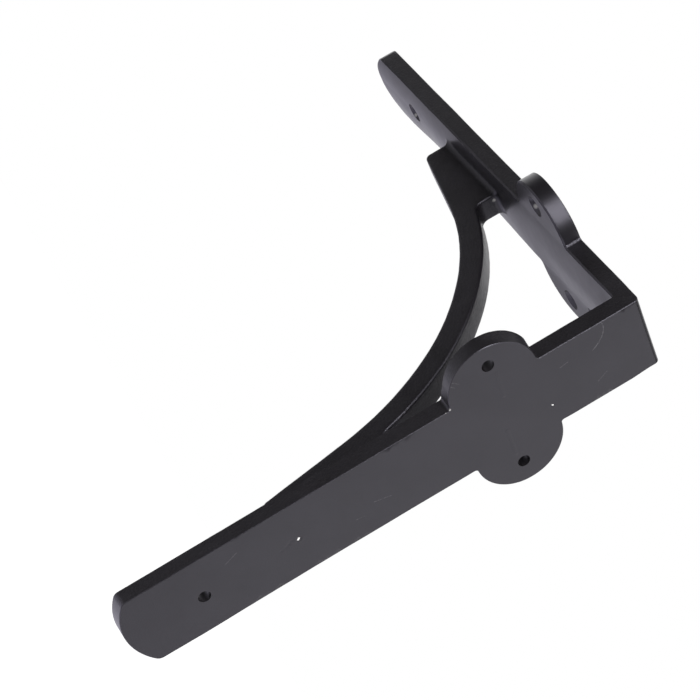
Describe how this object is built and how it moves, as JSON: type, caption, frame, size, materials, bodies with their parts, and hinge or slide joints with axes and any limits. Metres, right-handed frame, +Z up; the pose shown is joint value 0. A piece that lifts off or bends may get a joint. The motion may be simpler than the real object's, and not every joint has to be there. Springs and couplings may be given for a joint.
{
  "type": "shelf bracket",
  "caption": "Cast shelf bracket: two flat arms at a right angle with round screw ears, braced by a curved web.",
  "frame": {"origin": "on the wall face, midway between the screw holes of the wall arm's two ears", "axes": "+X out from the wall along the shelf arm, +Z up towards the shelf, Y across the arms"},
  "size_m": [0.2095, 0.0644, 0.1995],
  "materials": {
    "painted_iron": "thin satin black paint over a sand-cast skin"
  },
  "bodies": {
    "root": {"cast_bracket": "painted_iron"}
  },
  "joints": []
}
